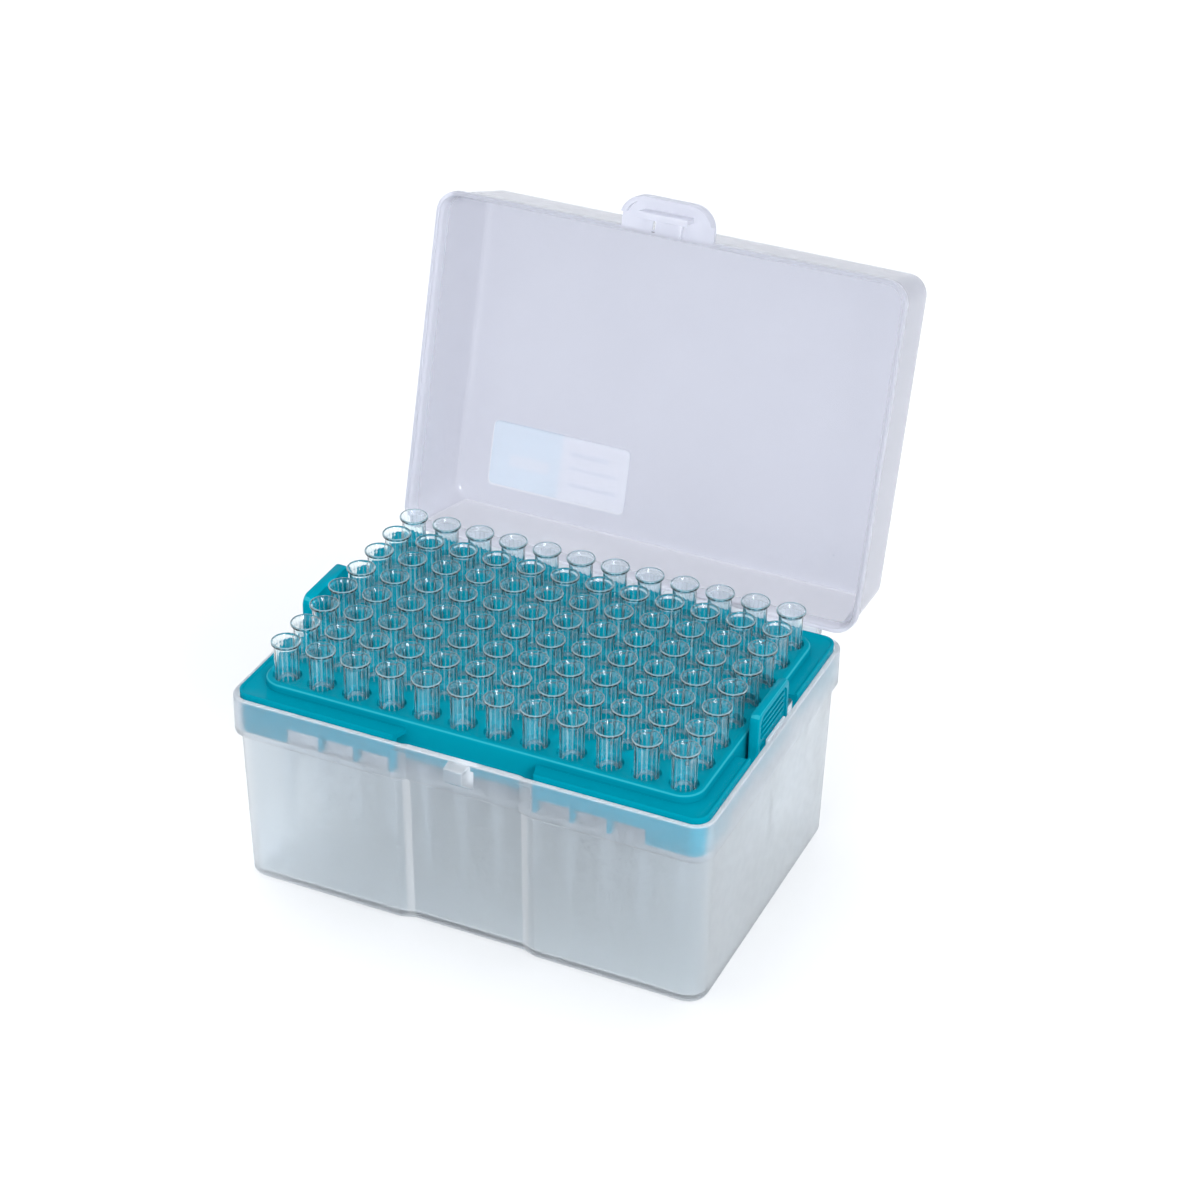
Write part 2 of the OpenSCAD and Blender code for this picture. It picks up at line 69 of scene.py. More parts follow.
TRAY_HX, TRAY_HY = BASE_HX - BASE_WALL - 0.3, BASE_HY - BASE_WALL - 0.3
PANEL_HX, PANEL_HY, PANEL_R = 54.6, 36.6, 5.5
TRAY_Z = BASE_H + 2.9
LEDGE_Z = TRAY_Z - 2.1
SEAT_Z = TRAY_Z - 1.3
TRAY_FOOT, SKIRT_FOOT = 45.1, 46.3
SKIRT_R, SKIRT_WALL = 3.5, 1.2
COLLAR_H = 10.5
TIP_TOP = SEAT_Z + COLLAR_H

LABEL_HX, LABEL_HY, LABEL_R = 19.0, 8.4, 1.5
LABEL_FROM_LEFT, LABEL_FROM_BACK = 11.2, 8.6


# ---- Mesh helpers ----

def new_object(name, bm, material, smooth_angle=40.0):
    """A piece from a bmesh drawn in millimetres, smooth except where its faces meet sharply."""
    bmesh.ops.recalc_face_normals(bm, faces=bm.faces)
    for v in bm.verts:
        v.co *= MM
    limit = math.radians(smooth_angle)
    for f in bm.faces:
        f.smooth = True
    for e in bm.edges:
        if len(e.link_faces) == 2 and e.calc_face_angle(0.0) > limit:
            e.smooth = False
    mesh = bpy.data.meshes.new(name)
    bm.to_mesh(mesh)
    bm.free()
    mesh.materials.append(material)
    obj = bpy.data.objects.new(name, mesh)
    bpy.context.scene.collection.objects.link(obj)
    return obj


def loft(bm, rings, capped=True):
    """Faces between successive rings of points, each a closed loop with the same count."""
    rows = [[bm.verts.new(p) for p in ring] for ring in rings]
    count = len(rows[0])
    for a, b in zip(rows, rows[1:]):
        for i in range(count):
            j = (i + 1) % count
            bm.faces.new((a[i], a[j], b[j], b[i]))
    if capped:
        bm.faces.new(list(reversed(rows[0])))
        bm.faces.new(rows[-1])
    return rows


CORNER_STEPS = 12


def rounded_ring(hx, hy, r, z):
    """Points round a rounded rectangle, anticlockwise from above."""
    r = max(r, 0.05)
    ring = []
    for quarter, (sx, sy) in enumerate(((1, 1), (-1, 1), (-1, -1), (1, -1))):
        for k in range(CORNER_STEPS + 1):
            a = math.radians(90 * (quarter + k / CORNER_STEPS))
            ring.append((sx * (hx - r) + r * math.cos(a), sy * (hy - r) + r * math.sin(a), z))
    return ring


def bend(*degrees):
    """The cosine and sine at each angle of a bend."""
    return [(math.cos(math.radians(a)), math.sin(math.radians(a))) for a in degrees]


def circle(cx, cy, r, steps, start=0.0, end=360.0):
    """Points of an arc, or of a whole circle without its last point."""
    count = steps if abs(end - start) >= 360 else steps + 1
    degrees = [start + (end - start) * k / steps for k in range(count)]
    return [(cx + r * c, cy + r * s) for c, s in bend(*degrees)]


# ---- Materials ----

def principled(name, color, **sockets):
    """A material with one Principled shader; sockets are its constants, with _ for each space."""
    material = bpy.data.materials.new(name)
    material.use_nodes = True
    nodes = material.node_tree.nodes
    shader = nodes["Principled BSDF"]
    shader.inputs["Base Color"].default_value = (*color, 1.0)
    for key, value in sockets.items():
        shader.inputs[key.replace("_", " ")].default_value = value
    return material, nodes, material.node_tree.links, shader


def noise(nodes, links, coords, scale, detail=3.0):
    """A noise value, most of which lies between NOISE_LOW and NOISE_HIGH."""
    node = nodes.new("ShaderNodeTexNoise")
    node.inputs["Scale"].default_value = scale
    node.inputs["Detail"].default_value = detail
    node.inputs["Roughness"].default_value = 0.5
    links.new(coords, node.inputs["Vector"])
    return node.outputs["Fac"]


NOISE_LOW, NOISE_HIGH = 0.3, 0.7


def spread(nodes, links, source, low, high):
    """A noise value stretched to run from low to high."""
    node = nodes.new("ShaderNodeMapRange")
    node.inputs["From Min"].default_value = NOISE_LOW
    node.inputs["From Max"].default_value = NOISE_HIGH
    node.inputs["To Min"].default_value = low
    node.inputs["To Max"].default_value = high
    links.new(source, node.inputs["Value"])
    return node.outputs["Result"]


# A Mix node's sockets when it mixes colours
MIX_FACTOR, MIX_A, MIX_B, MIX_RESULT = 0, 6, 7, 2


def tint(nodes, links, source, a, b):
    """Colour a where source is 0, and b where it is 1."""
    node = nodes.new("ShaderNodeMix")
    node.data_type = "RGBA"
    links.new(source, node.inputs[MIX_FACTOR])
    for socket, value in ((node.inputs[MIX_A], a), (node.inputs[MIX_B], b)):
        if isinstance(value, tuple):
            socket.default_value = (*value, 1.0)
        else:
            links.new(value, socket)
    return node.outputs[MIX_RESULT]


def bump(nodes, links, height, shader, strength, distance):
    """Fine relief from a height."""
    node = nodes.new("ShaderNodeBump")
    node.inputs["Strength"].default_value = strength
    node.inputs["Distance"].default_value = distance
    links.new(height, node.inputs["Height"])
    links.new(node.outputs["Normal"], shader.inputs["Normal"])


def lamps_pass(nodes, links, shader, share):
    """Each surface lets a share of the lamps' light through, so it reaches what stands inside."""
    output = nodes["Material Output"]
    path = nodes.new("ShaderNodeLightPath")
    clear = nodes.new("ShaderNodeBsdfTransparent")
    clear.inputs["Color"].default_value = (share, share, share, 1.0)
    mix = nodes.new("ShaderNodeMixShader")
    links.new(path.outputs["Is Shadow Ray"], mix.inputs[0])
    links.new(shader.outputs[0], mix.inputs[1])
    links.new(clear.outputs[0], mix.inputs[2])
    links.new(mix.outputs[0], output.inputs["Surface"])


def math_node(nodes, links, operation, a, b):
    """One Math node on two values, each a number or a socket."""
    node = nodes.new("ShaderNodeMath")
    node.operation = operation
    for socket, value in zip(node.inputs, (a, b)):
        if isinstance(value, float):
            socket.default_value = value
        else:
            links.new(value, socket)
    return node.outputs[0]


# The open lid's top and the label on it lie behind this Y
LID_TOP_Y = 62.0


def field(nodes, links, place, x_range, z_range, r=0.1):
    """1 in a rectangle in X and Z on the open lid's top, 0 elsewhere; r is its corner radius."""
    split = nodes.new("ShaderNodeSeparateXYZ")
    links.new(place, split.inputs[0])
    squares = []
    for axis, (low, high) in ((0, x_range), (2, z_range)):
        away = math_node(nodes, links, "SUBTRACT", split.outputs[axis], (low + high) / 2 * MM)
        away = math_node(nodes, links, "ABSOLUTE", away, 0.0)
        away = math_node(nodes, links, "SUBTRACT", away, ((high - low) / 2 - r) * MM)
        away = math_node(nodes, links, "MAXIMUM", away, 0.0)
        squares.append(math_node(nodes, links, "MULTIPLY", away, away))
    away = math_node(nodes, links, "ADD", *squares)
    inside = math_node(nodes, links, "LESS_THAN", away, (r * MM) ** 2)
    top = math_node(nodes, links, "GREATER_THAN", split.outputs[1], LID_TOP_Y * MM)
    return math_node(nodes, links, "MULTIPLY", inside, top)


# Where the label lies on the open lid
LABEL_X, LABEL_Z = (-49.2, -11.2), (52.3, 68.6)

PLASTIC_IOR, FLANGE_IOR, TIP_WALL_IOR, TIP_IOR = 1.49, 1.45, 1.34, 1.38
HIGHLIGHT_TINT = (0.86, 0.91, 1.0, 1.0)
# The lid's paler colour behind the label: a painted glow that makes the label look lit from behind.
LABEL_GLOW_PAINT = (0.82, 0.825, 0.88)
# Noise scales, per metre of the object
FLOW_SCALE, SPECK_SCALE, FINE_SCALE = 55.0, 34.0, 420.0
SPECK_SHADE = 0.45


def clear_plastic(name, pale, deep, roughness, spec, lamps, clear, ior=PLASTIC_IOR, specks=0.0,
                  paint_label_glow=False):
    """Clear or frosted plastic: flow from deep to pale, finely varied roughness, and dark specks.

    clear is the share of light that goes through rather than scatters, and lamps the share of the
    lamps' light that each surface lets through. With the label flag, it is paler behind the label:
    a painted glow, so the label seen through it looks lit from behind.
    """
    material, nodes, links, shader = principled(
        name, pale, IOR=ior, Transmission_Weight=clear, Specular_IOR_Level=spec)
    shader.inputs["Specular Tint"].default_value = HIGHLIGHT_TINT
    place = nodes.new("ShaderNodeTexCoord").outputs["Object"]
    flow = noise(nodes, links, place, FLOW_SCALE, 1.0)
    color = tint(nodes, links, flow, deep, pale)
    if specks:
        cells = nodes.new("ShaderNodeTexVoronoi")
        cells.inputs["Scale"].default_value = SPECK_SCALE
        links.new(place, cells.inputs["Vector"])
        speck = math_node(nodes, links, "LESS_THAN", cells.outputs["Distance"], specks)
        color = tint(nodes, links, speck, color, tuple(SPECK_SHADE * c for c in deep))
    # Painted light: the lid is paler behind the label so the label seen through it looks lit from
    # behind.
    if paint_label_glow:
        behind = field(nodes, links, place, LABEL_X, LABEL_Z, LABEL_R)
        color = tint(nodes, links, behind, color, LABEL_GLOW_PAINT)
    links.new(color, shader.inputs["Base Color"])
    fine = noise(nodes, links, place, FINE_SCALE, 0.0)
    links.new(spread(nodes, links, fine, *roughness), shader.inputs["Roughness"])
    lamps_pass(nodes, links, shader, lamps)
    return material


TEAL_FLOW_SCALE, TEAL_FINE_SCALE, TEAL_GRAIN_SCALE = 40.0, 700.0, 1500.0
TEAL_GRAIN_DEPTH = 0.08
TEAL_ROUGHNESS = (0.14, 0.2)
TEAL_HIGHLIGHT_TINT = (0.05, 0.8, 1.0, 1.0)


def teal_plastic(name, deep, pale):
    """Opaque teal plastic with a fine moulded grain."""
    material, nodes, links, shader = principled(name, deep, IOR=1.15, Specular_IOR_Level=0.2)
    shader.inputs["Specular Tint"].default_value = TEAL_HIGHLIGHT_TINT
    place = nodes.new("ShaderNodeTexCoord").outputs["Object"]
    flow = noise(nodes, links, place, TEAL_FLOW_SCALE, 1.0)
    links.new(tint(nodes, links, flow, deep, pale), shader.inputs["Base Color"])
    fine = noise(nodes, links, place, TEAL_FINE_SCALE, 0.0)
    links.new(spread(nodes, links, fine, *TEAL_ROUGHNESS), shader.inputs["Roughness"])
    grain = noise(nodes, links, place, TEAL_GRAIN_SCALE, 2.0)
    bump(nodes, links, grain, shader, 0.1, TEAL_GRAIN_DEPTH * MM)
    return material


body_mat = clear_plastic(
    "clear_body", pale=(0.93, 0.975, 1.0), deep=(0.905, 0.955, 1.0),
    roughness=(0.29, 0.34), spec=0.3, lamps=0.95, clear=0.96, specks=0.012)
# Less clear, more scattering copy for the rim and foot: painted highlight along the rim, painted
# light lifting the shade at the foot.
body_rim_painted_light_mat = clear_plastic(
    "clear_body_rim_painted_light", pale=(0.9, 0.93, 0.98), deep=(0.88, 0.92, 0.97),
    roughness=(0.3, 0.36), spec=0.4, lamps=0.95, clear=0.72)
# Paler, less clear copy for the recess's bevels and the flange's lip: painted highlight along these
# bends.
body_bend_highlight_mat = clear_plastic(
    "clear_body_bend_highlight", pale=(0.96, 0.98, 1.0), deep=(0.94, 0.965, 0.99),
    roughness=(0.3, 0.36), spec=0.4, lamps=0.95, clear=0.84)
body_flange_mat = clear_plastic(
    "clear_body_flange", pale=(0.9, 0.95, 1.0), deep=(0.88, 0.93, 0.99),
    roughness=(0.31, 0.37), spec=0.3, lamps=0.9, clear=0.95, ior=FLANGE_IOR)
lid_mat = clear_plastic(
    "clear_lid", pale=(0.66, 0.668, 0.745), deep=(0.64, 0.648, 0.725),
    roughness=(0.14, 0.2), spec=0.3, lamps=0.9, clear=0.78, specks=0.01, paint_label_glow=True)
lid_rim_mat = clear_plastic(
    "clear_lid_rim", pale=(0.82, 0.83, 0.91), deep=(0.8, 0.81, 0.89),
    roughness=(0.3, 0.36), spec=0.3, lamps=0.9, clear=0.66)
# Paler copy for the open lid's rear wall: painted light where it faces up to the lamps.
lid_back_painted_light_mat = clear_plastic(
    "clear_lid_back_painted_light", pale=(0.78, 0.785, 0.84), deep=(0.76, 0.765, 0.82),
    roughness=(0.14, 0.2), spec=0.3, lamps=0.9, clear=0.7)
tip_mat = clear_plastic(
    "clear_tip", pale=(0.92, 0.98, 0.99), deep=(0.89, 0.965, 0.98),
    roughness=(0.02, 0.06), spec=0.5, lamps=0.84, clear=1.0, ior=TIP_WALL_IOR)
# Bluer, less clear copy for the tips' mouths: a painted highlight on each rim.
tip_lip_highlight_mat = clear_plastic(
    "clear_tip_lip_highlight", pale=(0.64, 0.91, 1.0), deep=(0.61, 0.89, 0.98),
    roughness=(0.1, 0.16), spec=0.5, lamps=0.84, clear=0.72, ior=TIP_IOR)
# Less clear copy for the ribs' crests: painted highlight lines along the ribs.
tip_rib_highlight_mat = clear_plastic(
    "clear_tip_rib_highlight", pale=(0.9, 0.98, 1.0), deep=(0.87, 0.96, 0.99),
    roughness=(0.04, 0.1), spec=0.5, lamps=0.84, clear=0.84, ior=TIP_WALL_IOR)
tip_body_mat = clear_plastic(
    "clear_tip_body", pale=(0.93, 0.96, 0.99), deep=(0.9, 0.94, 0.97),
    roughness=(0.1, 0.16), spec=0.5, lamps=0.86, clear=0.88, ior=TIP_IOR)
teal_mat = teal_plastic("teal_tray", (0.0, 0.25, 0.345), (0.0, 0.28, 0.375))
# A paler teal for the rounded edges outside the panel: painted highlight along them.
teal_edge_highlight_mat = teal_plastic("teal_tray_edge_highlight", (0.02, 0.34, 0.43), (0.03, 0.38, 0.47))


# What the label shows, in X and Z: a blue field to its left edge with a pale box, and plain bars
BLUE_X = (-60.0, -30.0)
PALE_BOX = ((-44.0, -33.0), (57.6, 60.6))
BARS = (
    ((-27.5, -17.0), (63.6, 64.8)),
    ((-27.5, -14.5), (60.2, 61.0)),
    ((-27.5, -14.0), (56.0, 56.9)),
)
FIBRE_SCALE = 1800.0


def label_paper():
    """Thin paper that light comes through, with a blue field, a white field and plain bars."""
    # The faint emission is a painted glow, as if the paper were lit from behind.
    material, nodes, links, shader = principled(
        "label_paper", (0.86, 0.94, 1.0), Transmission_Weight=0.65, Specular_IOR_Level=0.1, IOR=1.4,
        Emission_Strength=0.03)
    shader.inputs["Emission Color"].default_value = (0.95, 0.97, 1.0, 1.0)
    place = nodes.new("ShaderNodeTexCoord").outputs["Object"]
    fibre = noise(nodes, links, place, FIBRE_SCALE, 4.0)
    blue = field(nodes, links, place, BLUE_X, LABEL_Z)
    color = tint(nodes, links, blue, (0.96, 0.97, 1.0), (0.84, 0.94, 1.0))
    color = tint(nodes, links, field(nodes, links, place, *PALE_BOX), color, (0.94, 0.97, 1.0))
    for bar in BARS:
        color = tint(nodes, links, field(nodes, links, place, *bar), color, (0.8, 0.83, 0.9))
    links.new(tint(nodes, links, spread(nodes, links, fibre, 0.0, 0.2), color, (0.84, 0.9, 0.96)),
              shader.inputs["Base Color"])
    links.new(spread(nodes, links, fibre, 0.85, 0.95), shader.inputs["Roughness"])
    lamps_pass(nodes, links, shader, 0.6)
    return material


label_mat = label_paper()


# ---- Shape helpers ----

def shapes_fused(name, parts, material, cut=()):
    """One piece from closed meshes in millimetres: parts joined, then the cuts taken out."""
    objects = []
    for k, bm in enumerate([*parts, *cut]):
        bmesh.ops.recalc_face_normals(bm, faces=bm.faces)
        mesh = bpy.data.meshes.new(f"{name}_{k}")
        bm.to_mesh(mesh)
        bm.free()
        obj = bpy.data.objects.new(f"{name}_{k}", mesh)
        bpy.context.scene.collection.objects.link(obj)
        objects.append(obj)
    body = objects[0]
    for k, obj in enumerate(objects[1:], 1):
        change = body.modifiers.new(f"m{k}", "BOOLEAN")
        change.operation = "UNION" if k < len(parts) else "DIFFERENCE"
        change.solver = "EXACT"
        change.object = obj
    bpy.context.view_layer.update()
    done = body.evaluated_get(bpy.context.evaluated_depsgraph_get()).to_mesh()
    bm = bmesh.new()
    bm.from_mesh(done)
    for obj in objects:
        mesh = obj.data
        bpy.data.objects.remove(obj)
        bpy.data.meshes.remove(mesh)
    return new_object(name, bm, material)


def prism(points, z0, z1, turn=None, soft=0.0, soft_steps=2):
    """A closed bmesh: the outline at z0 and at z1, with its sharp edges rounded, then turned."""
    bm = bmesh.new()
    loft(bm, [[(x, y, z) for x, y in points] for z in (z0, z1)])
    bmesh.ops.recalc_face_normals(bm, faces=bm.faces)
    if soft:
        edges = [e for e in bm.edges if e.calc_face_angle(0.0) > math.radians(35)]
        bmesh.ops.bevel(bm, geom=edges, offset=soft, segments=soft_steps, profile=0.5,
                        affect="EDGES", clamp_overlap=True)
    if turn is not None:
        bmesh.ops.transform(bm, matrix=turn, verts=bm.verts)
    return bm


def block(low, high, soft=0.0):
    """A closed box between two corners, with its edges rounded."""
    (x0, y0, z0), (x1, y1, z1) = low, high
    return prism([(x0, y0), (x1, y0), (x1, y1), (x0, y1)], z0, z1, soft=soft)


# A profile drawn as (y, z) and extruded along X
ALONG_X = Matrix(((0, 0, 1, 0), (1, 0, 0, 0), (0, 1, 0, 0), (0, 0, 0, 1)))


def hinge_turn(degrees):
    """A turn about the hinge's axis."""
    axis = Vector((0, HINGE_Y, HINGE_Z))
    turn = Matrix.Rotation(math.radians(degrees), 4, "X")
    return Matrix.Translation(axis) @ turn @ Matrix.Translation(-axis)


def opened(bm):
    """Turns what is drawn with the lid closed to where it lies with the lid open."""
    bmesh.ops.transform(bm, matrix=hinge_turn(-OPEN_ANGLE), verts=bm.verts)
    return bm


def finishes(obj, materials, choose):
    """More materials, on the faces for which choose(middle in mm, face) gives their number."""
    for material in materials:
        obj.data.materials.append(material)
    for face in obj.data.polygons:
        face.material_index = choose(face.center / MM, face)
    return obj


# ---- Base ----

# Where the points of the recess's slope lie along it, and how far each of its bends reaches
RAMP = (-0.12, -0.04, 0.04, 0.12, 0.5, 0.88, 0.96, 1.04, 1.12)
RAMP_BEND = 0.12


def ramp(t):
    """From 0 to 1 as t goes from 0 to 1, with both bends rounded."""
    e = RAMP_BEND
    if t <= -e:
        return 0.0
    if t < e:
        return (t + e) ** 2 / (4 * e)
    if t <= 1 - e:
        return t
    if t < 1 + e:
        return 1 - (1 + e - t) ** 2 / (4 * e)
    return 1.0


def base_ring(z, hx, hy, r, recess):
    """A level of the base: a rounded rectangle whose front is sunken by recess."""
    ring = rounded_ring(hx, hy, r, z)
    left = [(-(RECESS_W + RECESS_SLOPE * (1 - t)), -hy + recess * ramp(t), z) for t in RAMP]
    right = [(-x, y, z) for x, y, z in reversed(left)]
    cut = 3 * (CORNER_STEPS + 1)
    return ring[:cut] + left + right + ring[cut:]


def base_shell():
    """The base's wall as one loft: up the outside, over the rim and down the inside."""
    rings = []

    def level(z, hx, hy, r, recess=RECESS_D):
        rings.append(base_ring(z, hx, hy, r, recess))

    low_x, low_y = WALL_HX - DRAFT_X, WALL_HY - DRAFT_Y
    foot = 1.2
    for c, s in bend(0, 22.5, 45, 67.5, 90):
        inset = foot * (1 - s)
        level(foot * (1 - c), low_x - inset, low_y - inset, CORNER_R - inset)
    for z, out in ((FLANGE_Z - 0.35, 0.0), (FLANGE_Z - 0.1, 0.07), (FLANGE_Z, 0.25)):
        level(z, WALL_HX + out, WALL_HY + out, CORNER_R)
    edge = 0.5
    for c, s in bend(0, 30, 60, 90):
        inset = edge * (1 - s)
        level(FLANGE_Z + edge * (1 - c), BASE_HX - inset, BASE_HY - inset, CORNER_R - inset)
    top = BASE_H - RIM_BAND
    for dz, share in ((-0.25, 1.0), (-0.08, 0.93), (0.0, 0.75), (0.0, 0.15), (0.05, 0.04),
                      (0.2, 0.0)):
        level(top + dz, BASE_HX, BASE_HY, CORNER_R, RECESS_D * share)
    rim, inner_rim = 0.3, 0.2
    for c, s in bend(0, 30, 60, 90):
        inset = rim * (1 - c)
        level(BASE_H - rim + rim * s, BASE_HX - inset, BASE_HY - inset, CORNER_R - inset, 0.0)
    inner_x, inner_y, inner_r = BASE_HX - BASE_WALL, BASE_HY - BASE_WALL, CORNER_R - BASE_WALL
    for c, s in bend(90, 60, 30, 0):
        out = inner_rim * (1 - c)
        level(BASE_H - inner_rim + inner_rim * s, inner_x + out, inner_y + out, inner_r + out, 0.0)
    step = BASE_H - RIM_BAND + 1.0
    for dz, share in ((0.12, 0.0), (0.0, 0.12), (0.0, 0.88), (-0.15, 1.0)):
        level(step + dz, inner_x, inner_y, inner_r, RECESS_D * share)
    for dz, inset in ((0.25, 0.0), (0.06, 0.06), (0.0, 0.25)):
        level(SHELF_Z + dz, inner_x - inset, inner_y - inset, inner_r - inset)
    wall_x, wall_y = WALL_HX - BASE_WALL, WALL_HY - BASE_WALL
    for dz, out in ((0.0, 0.2), (-0.05, 0.05), (-0.2, 0.0)):
        level(SHELF_Z + dz, wall_x + out, wall_y + out, inner_r + out)
    for c, s in bend(0, 30, 60, 90):
        inset = foot * (1 - c)
        level(BASE_FLOOR + foot * (1 - s), wall_x - DRAFT_X - inset, wall_y - DRAFT_Y - inset,
              inner_r - inset)
    bm = bmesh.new()
    loft(bm, rings)
    return bm


def knuckle_x(i):
    """The middle of one knuckle; even ones are the base's, odd ones the lid's."""
    return (i - KNUCKLES // 2) * KNUCKLE_PITCH


def hinge_rod(radius, x, half):
    """A round rod along the hinge's axis."""
    return prism(circle(HINGE_Y, HINGE_Z, radius, 32), x - half, x + half, ALONG_X)


def base_knuckle(x):
    """Barrel, web to the flange and the heel that stops the lid, as one profile along X."""
    r, half = 1.5, KNUCKLE_HALF
    lean = math.radians(OPEN_ANGLE - 90)
    heel_y = HINGE_Y + 3.5
    face = HINGE_Z + (0.7 - (heel_y - HINGE_Y) * math.sin(lean)) / math.cos(lean) - 0.1
    points = [
        (BASE_HY - 0.6, HINGE_Z - r), (heel_y, HINGE_Z - r), (heel_y, face),
        *circle(HINGE_Y, HINGE_Z, r, 10, 20, 90)[:10],
        (HINGE_Y - 0.2, HINGE_Z + 1.2), (BASE_HY - 0.6, HINGE_Z + 1.2),
    ]
    return prism(points, x - half, x + half, ALONG_X)


def catch_block():
    """The catch: a clear block on the sunken panel, tapered and cut away below."""
    root, tip, top, face, slant = -BASE_HY + RECESS_D, -45.8, BASE_H - 0.2, 3.4, 4.14
    bm = bmesh.new()
    rows = []
    for y, half, low in ((root + 0.4, 3.0, top - face - slant), (tip, 2.3, top - face)):
        rows.append([(-half, y, top), (half, y, top), (half, y, low), (-half, y, low)])
    loft(bm, rows)
    bmesh.ops.recalc_face_normals(bm, faces=bm.faces)
    edges = [e for e in bm.edges if all(v.co.y < root for v in e.verts) or
             sum(v.co.y < root for v in e.verts) == 1]
    bmesh.ops.bevel(bm, geom=edges, offset=0.3, segments=3, profile=0.5, affect="EDGES")
    return bm


REST_HALF = 5.3
WEB_X, WEB_Y, WEB_HALF = (56.5, 58.1), (-21, 0, 21), 0.7


def build_base():
    """Shell, catch, grip rests, inner webs and knuckles in one piece, bored for the pins."""
    parts = [base_shell(), catch_block()]
    for side in (-1, 1):
        x0, x1 = sorted((side * (BASE_HX - BASE_WALL - 0.3), side * (BASE_HX - BASE_WALL + 0.3)))
        parts.append(block((x0, -REST_HALF, BASE_H - 0.8),
                           (x1, REST_HALF, BASE_H + 0.8), soft=0.12))
        x0, x1 = sorted(side * x for x in WEB_X)
        for y in WEB_Y:
            parts.append(block((x0, y - WEB_HALF, BASE_FLOOR / 2),
                               (x1, y + WEB_HALF, SHELF_Z - 0.8), soft=0.2))
    for i in range(0, KNUCKLES, 2):
        parts.append(base_knuckle(knuckle_x(i)))
    cuts = [hinge_rod(BORE_R, 0.0, BORE_HALF)]

    def finish(p, _):
        """0 wall, 1 rim and foot, a painted highlight along the rim and painted light lifting the
        shade at the foot, 2 bends, a paler painted highlight on the recess's bevels and the
        flange's lip, 3 flange and catch.
        """
        front = BASE_HY + 0.05
        if p.y < -front:
            return 3
        if p.z > BASE_H - 0.31 or 0.02 < p.z < 1.25:
            return 1
        if p.z >= FLANGE_Z + 0.5 and (abs(p.x) > WALL_HX - 0.6 or abs(p.y) > WALL_HY - 1.0):
            return 3
        bevel = RECESS_W - 0.1 < abs(p.x) < RECESS_W + 0.5 * RECESS_SLOPE and p.y < -WALL_HY + 3
        lip = FLANGE_Z - 0.1 < p.z < FLANGE_Z + 0.5 and (abs(p.x) > WALL_HX or p.y < -WALL_HY)
        return 2 if bevel or lip else 0

    return finishes(shapes_fused("base_body", parts, body_mat, cuts),
                    (body_rim_painted_light_mat, body_bend_highlight_mat, body_flange_mat), finish)


# ---- Lid ----

def lid_shell():
    """The lid's wall as one loft, drawn closed: down the inside, round the rim, up the outside."""
    rings = []

    def level(z, inset, r):
        rings.append(rounded_ring(LID_HX - inset, LID_HY - inset, r, z))

    r = CORNER_R + LIP_STEP
    ceiling, edge, lip_r = LID_TOP - LID_WALL, 1.5, 0.25
    inner, outer = LIP_STEP + LID_WALL, LIP_STEP + LID_DRAFT
    deep = inner + LID_DRAFT
    for c, s in bend(90, 60, 30, 0):
        inset = edge * (1 - c)
        level(ceiling - edge + edge * s, deep + inset, r - LIP_STEP - LID_WALL - inset)
    # The bends stand between close levels, so the long walls stay flat
    step, lip = LID_Z + 2 * LIP_H, LID_Z + LIP_H / 2
    for z, inset in ((ceiling - edge - 0.5, deep - 0.04), (step + 0.3, inner + 0.03),
                     (step, inner), (step - 0.3, inner - 0.05), (lip + 0.3, LID_WALL + 0.05),
                     (lip, LID_WALL), (lip - 0.3, LID_WALL), (LID_Z + 0.45, LID_WALL)):
        level(z, inset, r - min(inset, inner))
    for c, s in bend(0, 45, 90):
        level(LID_Z + lip_r - lip_r * s, LID_WALL - lip_r * (1 - c), r - LID_WALL)
    for c, s in bend(90, 45, 0):
        level(LID_Z + lip_r - lip_r * s, lip_r * (1 - c), r)
    for dz, inset in ((-0.2, 0.0), (-0.06, 0.06), (0.0, 0.2), (0.0, 0.35), (0.05, 0.46),
                      (0.2, 0.5), (0.6, 0.53),
                      (LID_DEPTH - LIP_H - LID_EDGE_R - 0.5, outer - 0.04)):
        level(LID_Z + LIP_H + dz, inset, r - min(inset, LIP_STEP))
    for c, s in bend(0, 15, 30, 45, 60, 75, 90):
        inset = LID_EDGE_R * (1 - c)
        level(LID_TOP - LID_EDGE_R + LID_EDGE_R * s, outer + inset, r - LIP_STEP - inset)
    bm = bmesh.new()
    loft(bm, rings)
    return bm


def lid_knuckle(x):
    """Barrel and web, drawn with the lid closed, as one profile along X."""
    r, half = 1.3, KNUCKLE_HALF
    left = LID_HY - 0.5
    points = [
        *circle(HINGE_Y, HINGE_Z, r, 14, 180, 360),
        (LID_HY, LID_Z + LIP_H), (left, LID_Z + LIP_H), (left, LID_Z), (LID_HY - 0.2, LID_Z),
    ]
    return prism(points, x - half, x + half, ALONG_X)


# The latch tab, the window in it and the catch bar below; the widths are halves
TAB_W, TAB_REACH, TAB_T, TAB_R = 11.8, 8.4, 1.5, 6.0
WINDOW_W, WINDOW_REACH, BAR_T = 6.3, 3.9, 1.2


def tab_outline(inset):
    """The latch tab from above: straight root, rounded outer corners."""
    w, reach, r = TAB_W - inset, TAB_REACH - inset, TAB_R - inset
    front = -LID_HY - reach
    corner = bend(*range(0, 91, 9))
    return ([(w, -LID_HY + 0.3), (w, -LID_HY - 0.2)]
            + [(w - r + r * c, front + r - r * s) for c, s in corner]
            + [(-w + r - r * s, front + r - r * c) for c, s in corner]
            + [(-w, -LID_HY - 0.2), (-w, -LID_HY + 0.3)])[::-1]


